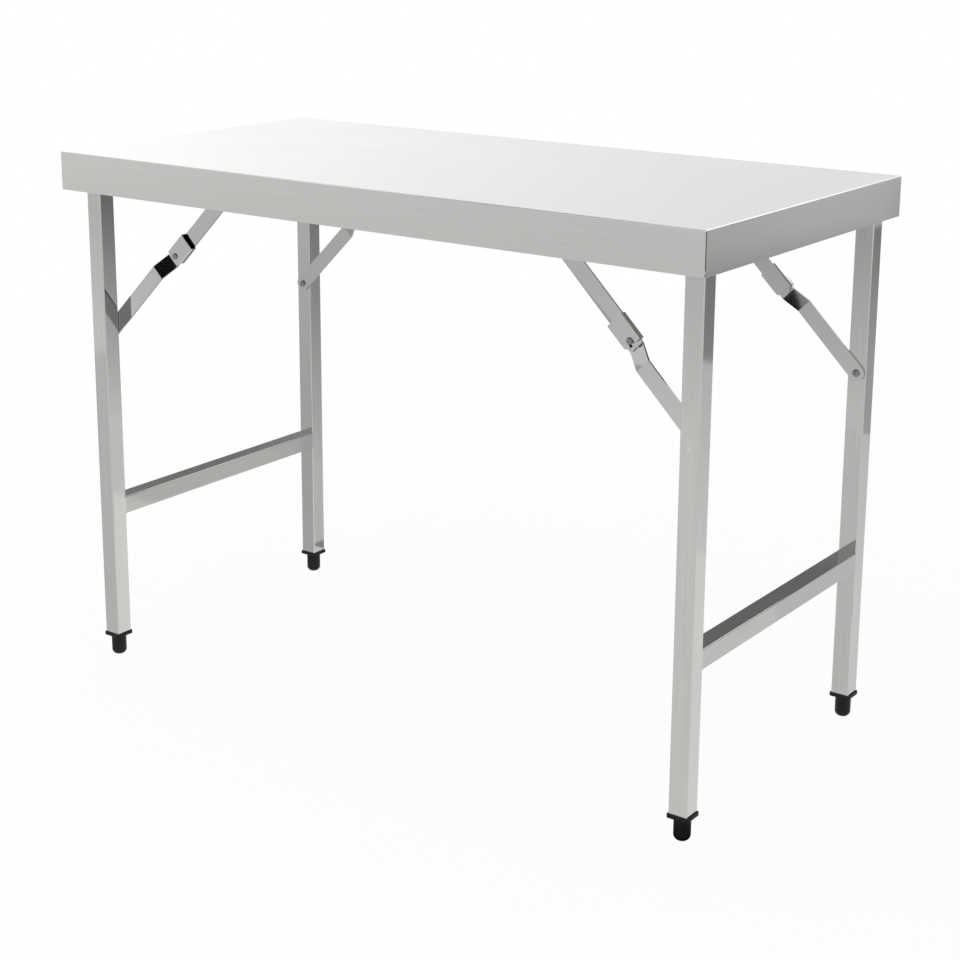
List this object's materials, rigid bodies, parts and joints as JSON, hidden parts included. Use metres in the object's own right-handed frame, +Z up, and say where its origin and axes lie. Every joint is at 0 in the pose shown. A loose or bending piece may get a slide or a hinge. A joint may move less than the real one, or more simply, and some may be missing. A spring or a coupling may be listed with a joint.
{
  "type": "folding work table",
  "caption": "Stainless folding work table: folded-sheet top on hinged leg frames that fold flat beneath it, held open by jointed braces with sliding lock sleeves.",
  "frame": {"origin": "on the floor under the middle of the top", "axes": "+X along the length, to the picture's right; +Y to the rear; +Z up"},
  "size_m": [1.2, 0.6, 0.877],
  "materials": {
    "stainless_sheet": "satin brushed stainless sheet",
    "stainless_tube": "satin polished stainless square tube",
    "stainless_bar": "satin stainless flat bar and pressed sheet",
    "bright_fasteners": "bright zinc-plated steel",
    "black_plastic": "moulded, fine matt"
  },
  "bodies": {
    "top": {"table_top": "stainless_sheet", "cross_channel_left": "stainless_sheet", "hinge_nuts_left": "bright_fasteners", "hinge_bracket_left_front": "stainless_bar", "hinge_bolt_left_front": "bright_fasteners", "brace_bracket_left_front": "stainless_bar", "brace_rivet_left_front": "bright_fasteners", "hinge_bracket_left_rear": "stainless_bar", "hinge_bolt_left_rear": "bright_fasteners", "brace_bracket_left_rear": "stainless_bar", "brace_rivet_left_rear": "bright_fasteners", "cross_channel_right": "stainless_sheet", "hinge_nuts_right": "bright_fasteners", "hinge_bracket_right_front": "stainless_bar", "hinge_bolt_right_front": "bright_fasteners", "brace_bracket_right_front": "stainless_bar", "brace_rivet_right_front": "bright_fasteners", "hinge_bracket_right_rear": "stainless_bar", "hinge_bolt_right_rear": "bright_fasteners", "brace_bracket_right_rear": "stainless_bar", "brace_rivet_right_rear": "bright_fasteners"},
    "frame_left": {"rail_left": "stainless_tube", "pin_tails_left": "bright_fasteners", "leg_left_front": "stainless_tube", "leg_plug_left_front": "black_plastic", "leg_left_rear": "stainless_tube", "leg_plug_left_rear": "black_plastic"},
    "foot_left_front": {"foot_left_front": "black_plastic"},
    "upper_brace_left_front": {"upper_link_left_front": "stainless_bar", "knee_rivet_left_front": "bright_fasteners"},
    "lower_brace_left_front": {"lower_link_left_front": "stainless_bar", "leg_pin_left_front": "bright_fasteners"},
    "lock_left_front": {"lock_sleeve_left_front": "stainless_bar"},
    "foot_left_rear": {"foot_left_rear": "black_plastic"},
    "upper_brace_left_rear": {"upper_link_left_rear": "stainless_bar", "knee_rivet_left_rear": "bright_fasteners"},
    "lower_brace_left_rear": {"lower_link_left_rear": "stainless_bar", "leg_pin_left_rear": "bright_fasteners"},
    "lock_left_rear": {"lock_sleeve_left_rear": "stainless_bar"},
    "frame_right": {"rail_right": "stainless_tube", "pin_tails_right": "bright_fasteners", "leg_right_front": "stainless_tube", "leg_plug_right_front": "black_plastic", "leg_right_rear": "stainless_tube", "leg_plug_right_rear": "black_plastic"},
    "foot_right_front": {"foot_right_front": "black_plastic"},
    "upper_brace_right_front": {"upper_link_right_front": "stainless_bar", "knee_rivet_right_front": "bright_fasteners"},
    "lower_brace_right_front": {"lower_link_right_front": "stainless_bar", "leg_pin_right_front": "bright_fasteners"},
    "lock_right_front": {"lock_sleeve_right_front": "stainless_bar"},
    "foot_right_rear": {"foot_right_rear": "black_plastic"},
    "upper_brace_right_rear": {"upper_link_right_rear": "stainless_bar", "knee_rivet_right_rear": "bright_fasteners"},
    "lower_brace_right_rear": {"lower_link_right_rear": "stainless_bar", "leg_pin_right_rear": "bright_fasteners"},
    "lock_right_rear": {"lock_sleeve_right_rear": "stainless_bar"}
  },
  "joints": [
    {"name": "fold_left", "type": "hinge", "parent": "top", "child": "frame_left", "pos_m": [-0.556, 0, 0.8535], "axis": [0, -1, 0], "range_deg": [0, 90]},
    {"name": "foot_left_front_screw", "type": "slide", "parent": "frame_left", "child": "foot_left_front", "axis": [0, 0, 1], "range_m": [-0.02, 0]},
    {"name": "upper_brace_left_front_pivot", "type": "hinge", "parent": "top", "child": "upper_brace_left_front", "pos_m": [-0.2775, -0.2237, 0.8535], "axis": [0, -1, 0], "range_deg": [-45, 0]},
    {"name": "lower_brace_left_front_knee", "type": "hinge", "parent": "upper_brace_left_front", "child": "lower_brace_left_front", "pos_m": [-0.41675, -0.2237, 0.71425], "axis": [0, -1, 0], "range_deg": [0, 180]},
    {"name": "lock_left_front_slide", "type": "slide", "parent": "upper_brace_left_front", "child": "lock_left_front", "axis": [0.7071, 0, 0.7071], "range_m": [0, 0.08]},
    {"name": "foot_left_rear_screw", "type": "slide", "parent": "frame_left", "child": "foot_left_rear", "axis": [0, 0, 1], "range_m": [-0.02, 0]},
    {"name": "upper_brace_left_rear_pivot", "type": "hinge", "parent": "top", "child": "upper_brace_left_rear", "pos_m": [-0.2775, 0.2237, 0.8535], "axis": [0, -1, 0], "range_deg": [-45, 0]},
    {"name": "lower_brace_left_rear_knee", "type": "hinge", "parent": "upper_brace_left_rear", "child": "lower_brace_left_rear", "pos_m": [-0.41675, 0.2237, 0.71425], "axis": [0, -1, 0], "range_deg": [0, 180]},
    {"name": "lock_left_rear_slide", "type": "slide", "parent": "upper_brace_left_rear", "child": "lock_left_rear", "axis": [0.7071, 0, 0.7071], "range_m": [0, 0.08]},
    {"name": "fold_right", "type": "hinge", "parent": "top", "child": "frame_right", "pos_m": [0.57, 0, 0.82], "axis": [0, 1, 0], "range_deg": [0, 90]},
    {"name": "foot_right_front_screw", "type": "slide", "parent": "frame_right", "child": "foot_right_front", "axis": [0, 0, 1], "range_m": [-0.02, 0]},
    {"name": "upper_brace_right_front_pivot", "type": "hinge", "parent": "top", "child": "upper_brace_right_front", "pos_m": [0.325, -0.2237, 0.82], "axis": [0, 1, 0], "range_deg": [-45, 0]},
    {"name": "lower_brace_right_front_knee", "type": "hinge", "parent": "upper_brace_right_front", "child": "lower_brace_right_front", "pos_m": [0.4475, -0.2237, 0.6975], "axis": [0, 1, 0], "range_deg": [0, 180]},
    {"name": "lock_right_front_slide", "type": "slide", "parent": "upper_brace_right_front", "child": "lock_right_front", "axis": [-0.7071, 0, 0.7071], "range_m": [0, 0.08]},
    {"name": "foot_right_rear_screw", "type": "slide", "parent": "frame_right", "child": "foot_right_rear", "axis": [0, 0, 1], "range_m": [-0.02, 0]},
    {"name": "upper_brace_right_rear_pivot", "type": "hinge", "parent": "top", "child": "upper_brace_right_rear", "pos_m": [0.325, 0.2237, 0.82], "axis": [0, 1, 0], "range_deg": [-45, 0]},
    {"name": "lower_brace_right_rear_knee", "type": "hinge", "parent": "upper_brace_right_rear", "child": "lower_brace_right_rear", "pos_m": [0.4475, 0.2237, 0.6975], "axis": [0, 1, 0], "range_deg": [0, 180]},
    {"name": "lock_right_rear_slide", "type": "slide", "parent": "upper_brace_right_rear", "child": "lock_right_rear", "axis": [-0.7071, 0, 0.7071], "range_m": [0, 0.08]}
  ],
  "couplings": [
    {"joint": "upper_brace_left_front_pivot", "follows": "fold_left", "ratio": -0.5},
    {"joint": "lower_brace_left_front_knee", "follows": "fold_left", "ratio": 2},
    {"joint": "lock_left_front_slide", "follows": "fold_left", "m_per_rad": 0.05093},
    {"joint": "upper_brace_left_rear_pivot", "follows": "fold_left", "ratio": -0.5},
    {"joint": "lower_brace_left_rear_knee", "follows": "fold_left", "ratio": 2},
    {"joint": "lock_left_rear_slide", "follows": "fold_left", "m_per_rad": 0.05093},
    {"joint": "upper_brace_right_front_pivot", "follows": "fold_right", "ratio": -0.5},
    {"joint": "lower_brace_right_front_knee", "follows": "fold_right", "ratio": 2},
    {"joint": "lock_right_front_slide", "follows": "fold_right", "m_per_rad": 0.05093},
    {"joint": "upper_brace_right_rear_pivot", "follows": "fold_right", "ratio": -0.5},
    {"joint": "lower_brace_right_rear_knee", "follows": "fold_right", "ratio": 2},
    {"joint": "lock_right_rear_slide", "follows": "fold_right", "m_per_rad": 0.05093}
  ]
}
